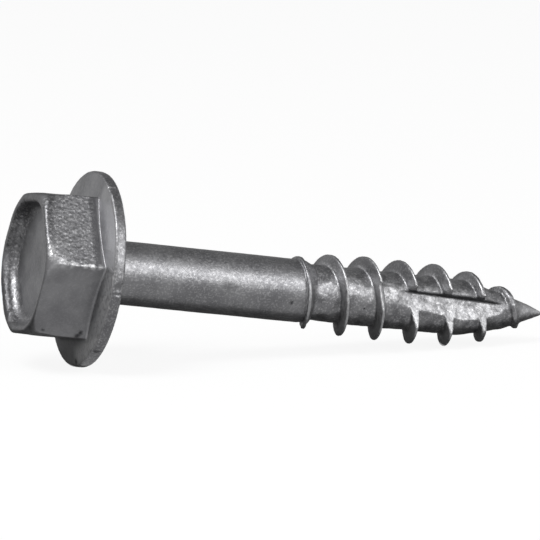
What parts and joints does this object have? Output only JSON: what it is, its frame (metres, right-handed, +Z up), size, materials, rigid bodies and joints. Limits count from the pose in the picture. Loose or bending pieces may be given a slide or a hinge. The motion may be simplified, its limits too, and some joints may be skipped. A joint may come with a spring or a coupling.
{
  "type": "lag screw",
  "caption": "Hex flange lag screw with a plain shank, a coarse right-hand thread and a milled self-drilling point.",
  "frame": {"origin": "centre of the bounding box's bottom, on the surface that the screw lies on", "axes": "+X runs along the screw towards its point, which lies 8.4 degrees lower than the head; +Z is up"},
  "size_m": [0.0406, 0.014, 0.0139],
  "materials": {
    "zinc_coated_steel": "mechanically galvanised steel, dull grey with a fine grain"
  },
  "bodies": {
    "root": {"lag_screw": "zinc_coated_steel"}
  },
  "joints": []
}
